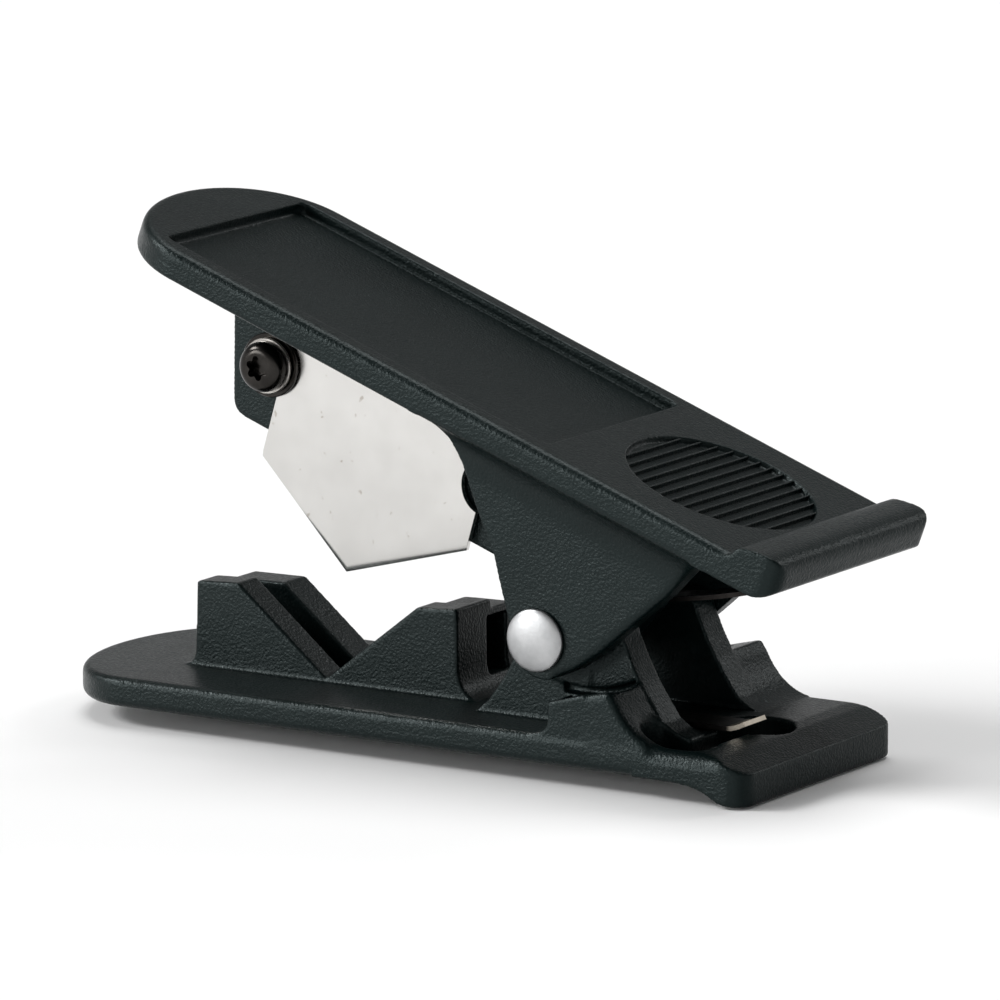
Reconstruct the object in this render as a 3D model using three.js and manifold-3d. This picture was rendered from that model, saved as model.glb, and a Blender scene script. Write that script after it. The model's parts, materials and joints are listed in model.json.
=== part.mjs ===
// Hand-held pliers-type cutter for soft plastic tube, in millimetres, +Z up.
//
// The tool lies on the pad of its lower jaw. X runs from the noses of the two jaws (-X) to their
// rear ends (+X), Y across the tool from the side with the screw head (-Y) to the far side (+Y).
// The origin is the middle of the tool's outline on the surface it lies on. The lower jaw is the
// base; the upper jaw is the lever, which turns about the pivot rivet and is modelled in a frame
// of its own with the rivet's axis as its origin, then opened by OPEN_ANGLE.

import * as THREE from 'three';
import { mergeVertices } from 'three/addons/utils/BufferGeometryUtils.js';
import Module from 'manifold-3d';

const wasm = await Module();
wasm.setup();

// Driving dimensions.
const WIDTH = 32.4;
const HALF = WIDTH / 2;
const GAP = 0.3;
const OPEN_ANGLE = THREE.MathUtils.degToRad(20.4);
const PIVOT = { x: 16.0, z: 14.7 };
const NOSE_REACH = 11.2;
// The side views are drawn from a datum this far behind the middle of the tool.
const DATUM = 0.6;
const CURVE_STEPS = 20;

// Lower jaw.
const BASE = { nose: -47.0, rear: 43.8, under: 2.0, top: 5.3, edge: 0.8, corner: 2.5 };
const PAD_HOLE = { x: 35.4, radius: 4.5 };
const EAR_HOLLOW = { front: 20.0, rear: 26.8, side: 14.8, floor: 8.0, corner: 1.5 };
const FOOT_POCKET = { front: 29.0, rear: 37.0, side: 13.8, floor: 3.3, corner: 1.5 };
const FOOT_GAP = { front: 33.4, far: -3.0 };
const ANVIL = { half: 5.85, slotNear: -2.0, slotFar: 1.3, slotFloor: 3.6, farDrop: 0.95 };
const BLOCK_RECESS = { near: 0.3, far: 4.2, front: -1.6, low: 7.0, high: 13.4 };
const WALL = { inner: 5.85, outer: 9.55 };

// Upper jaw, measured from the pivot axis.
const LEVER = { nose: -65.5, rear: 26.3, under: 17.65, top: 20.9, edge: 0.9, corner: 2.1 };
const EAR = { inner: 9.95, outer: 12.75, flare: 5.0 };
const WEB = { near: -0.65, far: 2.75, under: 0.95, hub: 4.0 };
const PANEL = { front: -57.7, rear: -5.8, side: 13.5, corner: 1.0, depth: 1.3 };
const FINGER_REST = { x: 8.6, reach: 10.6, side: 10.7, depth: 0.6, ribs: 13, ribWidth: 0.3, ribDrop: 0.1 };

// Blade and what holds it.
const BLADE = { near: -1.65, far: -0.95, half: 13.8, veeDepth: 8.25, height: 25.3, bevel: 0.7 };
const BLADE_TIP = { x: -30.3, z: -9.05, lean: THREE.MathUtils.degToRad(4) };
const SCREW = { x: -46.9, z: 8.5, shank: 1.5, head: 2.8, headHeight: 1.6, end: 6.3 };
const LOCK_WASHER = { radius: 3.1, thick: 0.45 };
const FLAT_WASHER = { radius: 3.6, thick: 0.4 };
const WASHER_GAP = 0.2;
const NUT = { acrossFlats: 5.5, thick: 2.4 };
const DRIVER_RECESS = { lobes: 6, radius: 1.25, lobeHeight: 0.18, depth: 1.0 };

// Pivot rivet and spring.
const PIN_RADIUS = 2.0;
const RIVET = { dome: 3.45, rise: 0.75, rim: 0.2 };
const SPRING = { near: -5.35, far: -0.95, thick: 0.5, loop: 2.6 };

const MATERIALS = {
  plastic: { color: 0x14181a, roughness: 0.55, metalness: 0.0 },
  blade: { color: 0xe6e4de, roughness: 0.22, metalness: 1.0 },
  blackSteel: { color: 0x2b2a28, roughness: 0.35, metalness: 1.0 },
  plainSteel: { color: 0x8d8b86, roughness: 0.35, metalness: 1.0 },
  rivet: { color: 0xc3c5c4, roughness: 0.4, metalness: 1.0 },
  spring: { color: 0x77736c, roughness: 0.35, metalness: 1.0 },
};

// Closed outline through a list of [a, b] points.
function outline(points) {
  return new THREE.Shape(points.map(([a, b]) => new THREE.Vector2(a, b)));
}

function toSolid(geometry) {
  geometry.deleteAttribute('normal');
  geometry.deleteAttribute('uv');
  const merged = mergeVertices(geometry, 1e-4);
  return new wasm.Manifold(new wasm.Mesh({
    numProp: 3,
    vertProperties: new Float32Array(merged.attributes.position.array),
    triVerts: new Uint32Array(merged.index.array),
  }));
}

function toGeometry(solid) {
  const { vertProperties, triVerts } = solid.getMesh();
  const geometry = new THREE.BufferGeometry();
  geometry.setAttribute('position', new THREE.BufferAttribute(vertProperties, 3));
  geometry.setIndex(new THREE.BufferAttribute(triVerts, 1));
  geometry.computeVertexNormals();
  return geometry;
}

function extrude(shape, depth, basis, steps = CURVE_STEPS) {
  const geometry = new THREE.ExtrudeGeometry(shape, { depth, curveSegments: steps, bevelEnabled: false });
  return geometry.applyMatrix4(basis);
}

// A side view, drawn in X and Z, given its thickness across the tool.
function across(shape, near, far, steps) {
  const basis = new THREE.Matrix4().makeBasis(
    new THREE.Vector3(1, 0, 0), new THREE.Vector3(0, 0, 1), new THREE.Vector3(0, -1, 0));
  return toSolid(extrude(shape, far - near, basis.setPosition(0, far, 0), steps));
}

// A cross-section, drawn in Y and Z, drawn out along the tool.
function along(shape, front, rear) {
  const basis = new THREE.Matrix4().makeBasis(
    new THREE.Vector3(0, 1, 0), new THREE.Vector3(0, 0, 1), new THREE.Vector3(1, 0, 0));
  return toSolid(extrude(shape, rear - front, basis.setPosition(front, 0, 0)));
}

// A plan view, drawn in X and Y, given its height.
function upright(shape, low, high) {
  return toSolid(extrude(shape, high - low, new THREE.Matrix4().setPosition(0, 0, low)));
}

// A plan view given its height, with its upper edge rounded by the radius edge.
function roundedSlab(shape, low, high, edge) {
  const geometry = new THREE.ExtrudeGeometry(shape, {
    depth: high - low - edge,
    curveSegments: CURVE_STEPS,
    bevelThickness: edge,
    bevelSize: edge,
    bevelOffset: -edge,
    bevelSegments: 4,
  });
  return toSolid(geometry.translate(0, 0, low)).intersect(upright(shape, low, high));
}

// A round rod along Y through the point (x, z).
function rod(x, z, radius, near, far, sides = 32) {
  const geometry = new THREE.CylinderGeometry(radius, radius, far - near, sides);
  return toSolid(geometry.translate(x, (near + far) / 2, z));
}

// A turned piece along Y from a [radius, y] profile that starts and ends on the axis.
function turned(profile, x, z, steps = 32) {
  const points = profile.map(([radius, y]) => new THREE.Vector2(radius, y));
  return toSolid(new THREE.LatheGeometry(points, steps).translate(x, 0, z));
}

function mirrored(solid) {
  return solid.mirror([0, 1, 0]);
}

// Plan of a jaw plate: half an ellipse at the nose, straight sides, rounded rear corners.
function platePlan(nose, rear, corner) {
  const shoulder = nose + NOSE_REACH;
  const shape = new THREE.Shape();
  shape.moveTo(shoulder, HALF);
  shape.absellipse(shoulder, 0, NOSE_REACH, HALF, Math.PI / 2, 1.5 * Math.PI, false);
  shape.lineTo(rear - corner, -HALF);
  shape.absarc(rear - corner, corner - HALF, corner, -Math.PI / 2, 0, false);
  shape.lineTo(rear, HALF - corner);
  shape.absarc(rear - corner, HALF - corner, corner, 0, Math.PI / 2, false);
  return shape;
}

// Plan of a rectangle with rounded corners.
function roundedRectangle(front, rear, near, far, corner) {
  const plan = new THREE.Shape();
  plan.absarc(rear - corner, far - corner, corner, 0, Math.PI / 2, false);
  plan.absarc(front + corner, far - corner, corner, Math.PI / 2, Math.PI, false);
  plan.absarc(front + corner, near + corner, corner, Math.PI, 1.5 * Math.PI, false);
  plan.absarc(rear - corner, near + corner, corner, 1.5 * Math.PI, 2 * Math.PI, false);
  return plan;
}

// ---- Lower jaw ----

function basePlate() {
  const plan = platePlan(BASE.nose, BASE.rear, BASE.corner);
  const plate = roundedSlab(plan, BASE.under, BASE.top, BASE.edge);
  // The rear pad stands lower than the plate; an S-bend leads down to it.
  const padSide = outline([
    [30.0, BASE.top], [30.0, BASE.under], [34.3, BASE.under], [36.2, 1.8], [38.0, 1.4], [40.0, 0.7],
    [41.6, 0.15], [42.6, 0], [BASE.rear + 1, 0], [BASE.rear + 1, BASE.top],
  ]);
  const pad = roundedSlab(plan, 0, BASE.top, BASE.edge).intersect(across(padSide, -HALF - 1, HALF + 1));
  // The top of the pad falls away to its rear edge.
  const rearSlope = outline([
    [38.9, BASE.top], [BASE.rear, 3.7], [BASE.rear + 2, 3.1], [BASE.rear + 2, BASE.top + 1],
    [38.9, BASE.top + 1],
  ]);
  return plate.add(pad).subtract(across(rearSlope, -HALF - 1, HALF + 1));
}

// The two anvil blocks with the V-shaped tube seat between them, seen from the side.
function anvilBlocks() {
  const root = BASE.top - 0.5;
  const side = outline([
    [-34.2, root], [-34.2, BASE.top], [-33.5, 5.5], [-32.9, 6.0], [-32.6, 6.8], [-32.3, 14.8],
    [-26.9, 15.1], [-15.4, 5.7], [-3.6, 14.9], [1.5, 15.2], [1.6, 8.7], [2.5, 6.9], [4.2, BASE.top],
    [4.2, root],
  ]);
  const blocks = across(side, -ANVIL.half, ANVIL.half);
  // The far halves are a little lower, so that the web of the lever can come down on them.
  const farTop = outline([
    [-36, 14.8 - ANVIL.farDrop], [-20, 15.1 - ANVIL.farDrop], [-8, 14.9 - ANVIL.farDrop],
    [4, 15.2 - ANVIL.farDrop], [4, 18], [-36, 18],
  ]);
  return blocks.subtract(across(farTop, ANVIL.slotFar, ANVIL.half + 1));
}

// Slot that the blade comes down in; it stops short of the rear face of the rear block.
function bladeSlot() {
  const rear = 0.4;
  const slot = outline([
    [-35, ANVIL.slotFloor + 6], [-22, ANVIL.slotFloor], [-8, ANVIL.slotFloor], [rear, ANVIL.slotFloor + 2.5],
    [rear, 18], [-35, 18],
  ]);
  return across(slot, ANVIL.slotNear, ANVIL.slotFar);
}

// Recess in the rear face of the rear block, below its far top.
function blockRecess() {
  const { near, far, front, low, high } = BLOCK_RECESS;
  const side = outline([[front, low + 1], [front + 1, low], [4, low], [4, high], [front, high]]);
  return across(side, near, far);
}

// Upright wall that carries the pivot rivet; its twin stands on the other side of the channel.
function pivotWall() {
  const side = outline([
    [6.0, BASE.top - 0.5], [6.2, BASE.top], [6.9, 5.8], [7.8, 6.6], [8.8, 7.9], [10.0, 9.6], [11.2, 11.8],
    [12.4, 15.0], [13.4, 16.8], [15.2, 17.4], [23.4, 17.4], [24.4, 16.9], [24.9, 15.3], [26.0, 12.9],
    [27.3, 10.5], [28.7, 8.4], [30.0, 6.6], [31.6, 5.6], [33.2, BASE.top], [33.2, BASE.top - 0.5],
  ]);
  return across(side, WALL.inner, WALL.outer);
}

// Shoulder outside the wall, under the ear of the lever.
function shoulder() {
  const side = outline([
    [17.0, BASE.top - 0.5], [17.6, BASE.top], [18.7, 5.6], [19.3, 6.4], [19.4, 8.85], [23.0, 9.9],
    [26.9, 10.85], [27.5, 10.0], [29.1, 7.6], [30.7, 6.1], [32.4, BASE.top], [32.8, BASE.top - 0.5],
  ]);
  const plan = platePlan(BASE.nose, BASE.rear, BASE.corner);
  return across(side, WALL.outer - 0.1, HALF).intersect(upright(plan, 0, 20));
}

// Hollow in the top of a shoulder, beside the wall, which leaves room for the ear of the lever.
function earHollow() {
  const { front, rear, side, floor, corner } = EAR_HOLLOW;
  return upright(roundedRectangle(front, rear, -side, -WALL.outer - 0.05, corner), floor, PIVOT.z);
}

// Pocket beside the foot of the near wall, open into the channel behind the foot.
function footPocket() {
  const { front, rear, side, floor, corner } = FOOT_POCKET;
  const beside = roundedRectangle(front, rear, -side, -WALL.outer - 0.05, corner);
  const behind = roundedRectangle(FOOT_GAP.front, rear, -side, FOOT_GAP.far, corner);
  return upright(beside, floor, PIVOT.z).add(upright(behind, floor, PIVOT.z));
}

function base() {
  const wall = pivotWall().add(shoulder());
  return basePlate()
    .add(anvilBlocks())
    .add(wall)
    .add(mirrored(wall))
    .subtract(bladeSlot())
    .subtract(blockRecess())
    .subtract(earHollow())
    .subtract(mirrored(earHollow()))
    .subtract(footPocket())
    .subtract(rod(PIVOT.x, PIVOT.z, PIN_RADIUS + GAP, -HALF, HALF))
    .subtract(upright(new THREE.Shape().absarc(PAD_HOLE.x, 0, PAD_HOLE.radius, 0, 2 * Math.PI), -1, 8));
}

// ---- Upper jaw, in its own frame ----

function leverPlate() {
  const plan = platePlan(LEVER.nose, LEVER.rear, LEVER.corner);
  const plate = roundedSlab(plan, LEVER.under, LEVER.top, LEVER.edge);
  // The rear edge is turned up into a lip, and its underside rises to the rear face.
  const lip = outline([
    [18.0, LEVER.under + 0.5], [18.0, LEVER.top - 1], [19.5, LEVER.top - 0.3], [20.0, LEVER.top],
    [20.6, 21.9], [21.2, 22.2], [23.0, 22.7], [24.6, 22.7], [25.6, 22.3], [26.1, 21.7], [LEVER.rear, 21.0],
    [LEVER.rear, 19.4], [25.6, 18.6], [24.6, 18.0], [23.4, LEVER.under + 0.05], [22.0, LEVER.under],
  ]);
  const under = outline([
    [23.4, LEVER.under], [24.6, 18.0], [25.6, 18.6], [LEVER.rear, 19.4], [LEVER.rear + 1, 19.4],
    [LEVER.rear + 1, LEVER.under - 1], [23.4, LEVER.under - 1],
  ]);
  const lipPlan = upright(plan, LEVER.under, LEVER.top + 3);
  return plate
    .subtract(across(under, -HALF - 1, HALF + 1))
    .add(across(lip, -HALF, HALF).intersect(lipPlan));
}

// Shallow rectangular panel in the top, in front.
function panelPocket() {
  const { front, rear, side, corner, depth } = PANEL;
  return upright(roundedRectangle(front, rear, -side, side, corner), LEVER.top - depth, LEVER.top + 1);
}

// Oval finger rest with thin ribs across it, in the top behind the panel.
function fingerRest() {
  const { x, reach, side, depth, ribs, ribWidth, ribDrop } = FINGER_REST;
  const oval = new THREE.Shape().absellipse(x, 0, reach, side, 0, 2 * Math.PI);
  let hollow = upright(oval, LEVER.top - depth, LEVER.top + 1);
  const pitch = 2 * reach / (ribs + 1);
  for (let i = 1; i <= ribs; i += 1) {
    const front = x - reach + i * pitch - ribWidth / 2;
    const rib = outline([
      [front, LEVER.under + 1], [front + ribWidth, LEVER.under + 1],
      [front + ribWidth, LEVER.top - ribDrop], [front, LEVER.top - ribDrop],
    ]);
    hollow = hollow.subtract(across(rib, -HALF, HALF));
  }
  return hollow;
}

// Ear that hangs outside the pivot wall; its outer face sweeps out to the side of the plate.
function ear() {
  const root = LEVER.under + 0.5;
  const side = outline([
    [-22.4, root], [-21.6, LEVER.under], [-19.4, 17.3], [-17.3, 16.2], [-15.7, 14.5], [-12.5, 10.8],
    [-9.7, 7.9], [-8.2, 6.4], [-6.6, 4.1], [-5.1, 2.0], [-3.5, -0.6], [-2.2, -2.6], [-0.6, -3.7], [0.8, -4.0],
    [2.2, -3.7], [3.6, -2.7], [5.5, -0.95], [7.7, 2.2], [10.4, 7.2], [12.8, 11.4], [14.5, 15.6],
    [15.5, 16.6], [17.2, LEVER.under], [17.6, root],
  ]);
  const sweep = HALF - EAR.outer;
  const outside = new THREE.Shape();
  outside.moveTo(EAR.outer, -10);
  outside.lineTo(HALF + 1, -10);
  outside.lineTo(HALF + 1, LEVER.under);
  outside.lineTo(HALF, LEVER.under);
  outside.absellipse(HALF, LEVER.under - EAR.flare, sweep, EAR.flare, Math.PI / 2, Math.PI, false);
  return across(side, EAR.inner, HALF - 0.01).subtract(along(outside, -30, 30));
}

// Web along the middle: backs the blade, then runs on to a hub round the rivet.
function web() {
  const root = LEVER.under + 0.5;
  const side = new THREE.Shape();
  side.moveTo(-56.4, root);
  side.lineTo(-56.2, LEVER.under);
  side.lineTo(-53.7, 10.5);
  side.lineTo(-51.0, 2.9);
  side.quadraticCurveTo(-50.4, WEB.under, -48.9, WEB.under);
  side.lineTo(-6.0, WEB.under);
  side.quadraticCurveTo(-4.2, WEB.under, -3.7, -1.5);
  side.absarc(0, 0, WEB.hub, Math.PI + 0.38, 2 * Math.PI - 0.1, false);
  side.lineTo(8.2, 9.9);
  side.quadraticCurveTo(11.5, 15.8, 16.0, LEVER.under);
  side.lineTo(16.4, root);
  return across(side, WEB.near, WEB.far, 10);
}

function lever() {
  const earSolid = ear();
  return leverPlate()
    .add(earSolid)
    .add(mirrored(earSolid))
    .add(web())
    .subtract(panelPocket())
    .subtract(fingerRest())
    .subtract(rod(0, 0, PIN_RADIUS + GAP, -HALF, HALF))
    .subtract(rod(SCREW.x, SCREW.z, SCREW.shank + GAP, -HALF, HALF));
}

// ---- Blade and its fastening, in the lever's frame ----

// Trapezium wedge that leaves one cutting edge of the blade bevelled towards the far side.
function edgeCut(sign) {
  const length = Math.hypot(BLADE.half, BLADE.veeDepth);
  const thick = BLADE.far - BLADE.near;
  const section = outline([
    [BLADE.near - 0.2, -1], [BLADE.near - 0.2, 0.05], [BLADE.near + thick * 0.35, 0.05],
    [BLADE.far, BLADE.bevel], [BLADE.far + 1, BLADE.bevel], [BLADE.far + 1, -1],
  ]);
  const angle = Math.atan2(BLADE.veeDepth, BLADE.half);
  const cut = along(section, -2, length + 2);
  const turnedCut = sign > 0 ? cut : cut.mirror([1, 0, 0]);
  return turnedCut.rotate([0, -sign * THREE.MathUtils.radToDeg(angle), 0]);
}

function blade() {
  const side = outline([
    [0, 0], [BLADE.half, BLADE.veeDepth], [BLADE.half, BLADE.height], [-BLADE.half, BLADE.height],
    [-BLADE.half, BLADE.veeDepth],
  ]);
  const notch = { x: BLADE.half + 0.6, z: 16.1, radius: 3.3 };
  return across(side, BLADE.near, BLADE.far)
    .subtract(rod(notch.x, notch.z, notch.radius, -HALF, HALF))
    .subtract(edgeCut(1))
    .subtract(edgeCut(-1))
    .rotate([0, -THREE.MathUtils.radToDeg(BLADE_TIP.lean), 0])
    .translate([BLADE_TIP.x, 0, BLADE_TIP.z])
    .subtract(rod(SCREW.x, SCREW.z, SCREW.shank + GAP, -HALF, HALF));
}

// Stations of the fastening along Y, from the blade towards the head.
const flatWasherNear = BLADE.near - WASHER_GAP - FLAT_WASHER.thick;
const lockWasherNear = flatWasherNear - WASHER_GAP - LOCK_WASHER.thick;
const headFace = lockWasherNear - WASHER_GAP;

function bladeScrew() {
  const crown = headFace - SCREW.headHeight;
  const profile = [
    [0, crown], [1.9, crown], [2.5, crown + 0.3], [SCREW.head, crown + 0.9], [SCREW.head, headFace],
    [SCREW.shank, headFace], [SCREW.shank, SCREW.end - 0.4], [SCREW.shank - 0.4, SCREW.end], [0, SCREW.end],
  ];
  // Six-lobed driver recess.
  const { lobes, radius, lobeHeight, depth } = DRIVER_RECESS;
  const recess = [];
  for (let i = 0; i < 4 * lobes; i += 1) {
    const angle = i * Math.PI / (2 * lobes);
    const reach = radius + lobeHeight * Math.cos(lobes * angle);
    recess.push([reach * Math.cos(angle), reach * Math.sin(angle)]);
  }
  const socket = across(outline(recess), crown - 1, crown + depth).translate([SCREW.x, 0, SCREW.z]);
  return turned(profile, SCREW.x, SCREW.z).subtract(socket);
}

function washer(near, thick, radius) {
  return rod(SCREW.x, SCREW.z, radius, near, near + thick)
    .subtract(rod(SCREW.x, SCREW.z, SCREW.shank + GAP, near - 1, near + thick + 1));
}

// Split spring washer: a washer with a slanted cut through one side.
function lockWasher() {
  const cut = outline([[1, -0.5], [4, -0.1], [4, 0.3], [1, -0.1]]);
  return washer(lockWasherNear, LOCK_WASHER.thick, LOCK_WASHER.radius)
    .subtract(across(cut, -HALF, HALF).rotate([0, 125, 0]).translate([SCREW.x, 0, SCREW.z]));
}

function screwNut() {
  const near = WEB.far + GAP;
  const cornerRadius = NUT.acrossFlats / Math.sqrt(3);
  return rod(SCREW.x, SCREW.z, cornerRadius, near, near + NUT.thick, 6)
    .subtract(rod(SCREW.x, SCREW.z, SCREW.shank + GAP, near - 1, near + NUT.thick + 1));
}

// ---- Pivot rivet and leaf spring, fixed to the base ----

function pivotRivet() {
  const seat = EAR.outer + GAP;
  const dome = [];
  const steps = 6;
  for (let i = 0; i <= steps; i += 1) {
    const angle = i * Math.PI / (2 * steps);
    dome.push([RIVET.dome * Math.sin(angle), seat + RIVET.rim + (RIVET.rise - RIVET.rim) * Math.cos(angle)]);
  }
  const half = [...dome, [RIVET.dome, seat], [PIN_RADIUS, seat]];
  const other = half.map(([radius, y]) => [radius, -y]).reverse();
  return turned([...half, ...other].reverse(), PIVOT.x, PIVOT.z);
}

// Flat steel strip bent round the rivet beside the web: the lower leg lies on the floor of the
// channel and turns up over the hole in the pad, the upper leg rises to the underside of the lever.
function leafSpring() {
  const floor = BASE.top + GAP + SPRING.thick / 2;
  const path = new THREE.Path();
  path.moveTo(37.6, floor + 0.8);
  path.lineTo(35.8, floor);
  path.lineTo(25.5, floor);
  path.quadraticCurveTo(22.8, floor, 20.6, 7.6);
  path.lineTo(PIVOT.x - SPRING.loop * Math.cos(0.9), PIVOT.z - SPRING.loop * Math.sin(0.9));
  path.absarc(PIVOT.x, PIVOT.z, SPRING.loop, Math.PI + 0.9, 0.5 * Math.PI + 0.17, true);
  path.quadraticCurveTo(24.0, 18.6, 30.6, 19.5);
  path.quadraticCurveTo(38.0, 20.6, 43.2, 22.6);
  const centre = path.getPoints(8);
  // Offset the centre line to both sides by half the thickness.
  const offset = (sign) => centre.map((point, i) => {
    const before = centre[Math.max(i - 1, 0)];
    const after = centre[Math.min(i + 1, centre.length - 1)];
    const direction = after.clone().sub(before).normalize();
    return new THREE.Vector2(
      point.x - sign * direction.y * SPRING.thick / 2,
      point.y + sign * direction.x * SPRING.thick / 2);
  });
  const strip = new THREE.Shape([...offset(1), ...offset(-1).reverse()]);
  return across(strip, SPRING.near, SPRING.far);
}

function part(name, solid, material) {
  const { color, roughness, metalness } = MATERIALS[material];
  const look = new THREE.MeshStandardMaterial({ color, roughness, metalness });
  const mesh = new THREE.Mesh(toGeometry(solid), look);
  mesh.name = name;
  return mesh;
}

const upperJaw = new THREE.Group();
upperJaw.position.set(PIVOT.x, 0, PIVOT.z);
upperJaw.rotation.y = OPEN_ANGLE;
upperJaw.add(
  part('lever', lever(), 'plastic'),
  part('blade', blade(), 'blade'),
  part('blade_screw', bladeScrew(), 'blackSteel'),
  part('lock_washer', lockWasher(), 'plainSteel'),
  part('flat_washer', washer(flatWasherNear, FLAT_WASHER.thick, FLAT_WASHER.radius), 'blackSteel'),
  part('screw_nut', screwNut(), 'blackSteel'),
);

const tool = new THREE.Group();
tool.position.x = -DATUM;
tool.add(
  part('base', base(), 'plastic'),
  part('leaf_spring', leafSpring(), 'spring'),
  part('pivot_rivet', pivotRivet(), 'rivet'),
  upperJaw,
);
export default tool;
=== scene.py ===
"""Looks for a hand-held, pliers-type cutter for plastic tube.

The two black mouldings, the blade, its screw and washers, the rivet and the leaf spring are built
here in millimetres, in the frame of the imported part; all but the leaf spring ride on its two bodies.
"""
import json
import math

import bmesh
import bpy
from mathutils import Matrix, Vector


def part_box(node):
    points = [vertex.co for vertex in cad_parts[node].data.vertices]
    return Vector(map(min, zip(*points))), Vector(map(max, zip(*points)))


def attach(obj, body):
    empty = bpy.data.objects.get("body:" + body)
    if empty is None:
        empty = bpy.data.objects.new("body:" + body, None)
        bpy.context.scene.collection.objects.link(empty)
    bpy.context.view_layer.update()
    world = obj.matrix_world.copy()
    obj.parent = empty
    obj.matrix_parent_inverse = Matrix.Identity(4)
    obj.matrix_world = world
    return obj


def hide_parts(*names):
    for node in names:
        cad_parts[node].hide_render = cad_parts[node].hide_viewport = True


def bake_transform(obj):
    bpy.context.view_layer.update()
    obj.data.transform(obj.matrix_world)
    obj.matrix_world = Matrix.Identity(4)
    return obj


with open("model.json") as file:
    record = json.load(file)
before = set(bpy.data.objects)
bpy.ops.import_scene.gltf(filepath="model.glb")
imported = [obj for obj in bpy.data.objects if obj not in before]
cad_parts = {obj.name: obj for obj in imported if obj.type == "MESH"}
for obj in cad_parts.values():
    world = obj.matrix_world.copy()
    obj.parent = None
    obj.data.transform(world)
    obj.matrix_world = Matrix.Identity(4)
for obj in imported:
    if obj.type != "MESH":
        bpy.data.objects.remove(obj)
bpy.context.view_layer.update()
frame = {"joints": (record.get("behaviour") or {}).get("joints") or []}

MM = 0.001


def mm(vector):
    return [value / MM for value in vector]


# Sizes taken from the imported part, in millimetres.
BASE_LOW, BASE_HIGH = (mm(corner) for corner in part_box("base"))
RIVET_LOW, RIVET_HIGH = (mm(corner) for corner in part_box("pivot_rivet"))
SPRING_LOW, SPRING_HIGH = (mm(corner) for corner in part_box("leaf_spring"))
PIVOT = mm(frame["joints"][0]["pos_m"])
HALF = BASE_HIGH[1]
DATUM = 0.6
OPEN_ANGLE = math.radians(20.4)

# Lower jaw: plate, anvil blocks, pivot walls.
BASE_NOSE = BASE_LOW[0] + DATUM
BASE_REAR = BASE_HIGH[0] + DATUM
BASE_UNDER = 2.0
BASE_TOP = 5.3
BASE_ROOT = BASE_TOP - 0.5  # how far blocks and walls sink into the plate before they are joined
BASE_CORNER = 2.5
BASE_TOP_EDGE, BASE_LOW_EDGE, PAD_LOW_EDGE = 0.8, 0.9, 0.4
NOSE_REACH = 11.0
PIVOT_X = PIVOT[0] + DATUM
PIVOT_Z = PIVOT[2]
ANVIL_HALF = 5.85
SLOT_NEAR, SLOT_FAR, SLOT_FLOOR = -2.0, 1.3, 3.6
FAR_DROP = 0.95
WALL_INNER, WALL_OUTER = 5.85, 9.55
PAD_HOLE_X, PAD_HOLE_RADIUS = 35.4, 4.5
HOLLOW_FRONT, HOLLOW_REAR, HOLLOW_SIDE, HOLLOW_FLOOR = 20.0, 26.8, 14.8, 8.0
FAR_HOLLOW_REAR, POCKET_CORNER = 24.5, 1.5
WALL_GAP = 0.05  # a hollow starts this far outside the face of its wall
ARC_UNDERCUT = 0.8
POCKET_FRONT, POCKET_REAR, POCKET_SIDE, POCKET_FLOOR = 29.0, 37.0, 13.8, 3.3
FOOT_GAP_FRONT, FOOT_GAP_FAR = 33.4, -3.0
BOSS_X, BOSS_Z, BOSS_RADIUS, BOSS_RISE, BOSS_SIDES = 20.55, 22.3, 12.95, 0.25, 160

# Upper jaw, measured from the pivot axis.
LEVER_NOSE, LEVER_REAR = -65.4, 26.2
LEVER_UNDER, LEVER_TOP = 17.65, 20.9
LEVER_ROOT = LEVER_UNDER + 0.5  # how far ears and web sink into the plate before they are joined
LEVER_CORNER = 2.1
LEVER_TOP_EDGE, LEVER_LOW_EDGE = 0.9, 0.3
EAR_INNER, EAR_OUTER, EAR_FLARE = 9.95, 12.75, 5.0
WEB_NEAR, WEB_FAR, WEB_UNDER, WEB_HUB = -0.65, 2.75, 0.95, 4.0
REST = {"x": 8.6, "y": 0.0, "reach": 10.6, "side": 10.7, "depth": 0.6, "ribs": 13}

# Blade and its fastening, measured from the pivot axis.
BLADE_NEAR, BLADE_FAR = -1.65, -0.95
BLADE_HALF, BLADE_VEE, BLADE_HEIGHT, BLADE_BEVEL = 13.8, 8.25, 25.3, 0.75
BLADE_TIP_X, BLADE_TIP_Z, BLADE_LEAN = -30.3, -9.05, math.radians(4)
SCREW_X, SCREW_Z, SCREW_SHANK = -46.9, 8.5, 1.5
PIN_RADIUS = 2.0
CLEARANCE = 0.3
SPRING_TIP = (43.2, 22.55)

VOXEL = 0.19
FILLET_PASSES = 4
SOFT_PASSES = 70

TO_PART = Matrix.Translation((-DATUM, 0, 0))
LEVER_TO_PART = Matrix.Translation((PIVOT[0], 0, PIVOT[2])) @ Matrix.Rotation(OPEN_ANGLE, 4, "Y")


# ---- Mesh building, in millimetres ----

def new_object(name, mesh):
    obj = bpy.data.objects.new(name, mesh)
    bpy.context.scene.collection.objects.link(obj)
    return obj


def from_lists(name, vertices, faces):
    mesh = bpy.data.meshes.new(name)
    mesh.from_pydata(vertices, [], faces)
    solid = bmesh.new()
    solid.from_mesh(mesh)
    bmesh.ops.recalc_face_normals(solid, faces=solid.faces)
    solid.to_mesh(mesh)
    solid.free()
    return new_object(name, mesh)


def loft(rings, name="loft"):
    """Closed solid through rings of equally many points."""
    count = len(rings[0])
    vertices = [point for ring in rings for point in ring]
    faces = [list(range(count)), list(range(len(vertices) - count, len(vertices)))]
    for level in range(len(rings) - 1):
        low = level * count
        for i in range(count):
            j = (i + 1) % count
            faces.append([low + i, low + j, low + count + j, low + count + i])
    return from_lists(name, vertices, faces)


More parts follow.
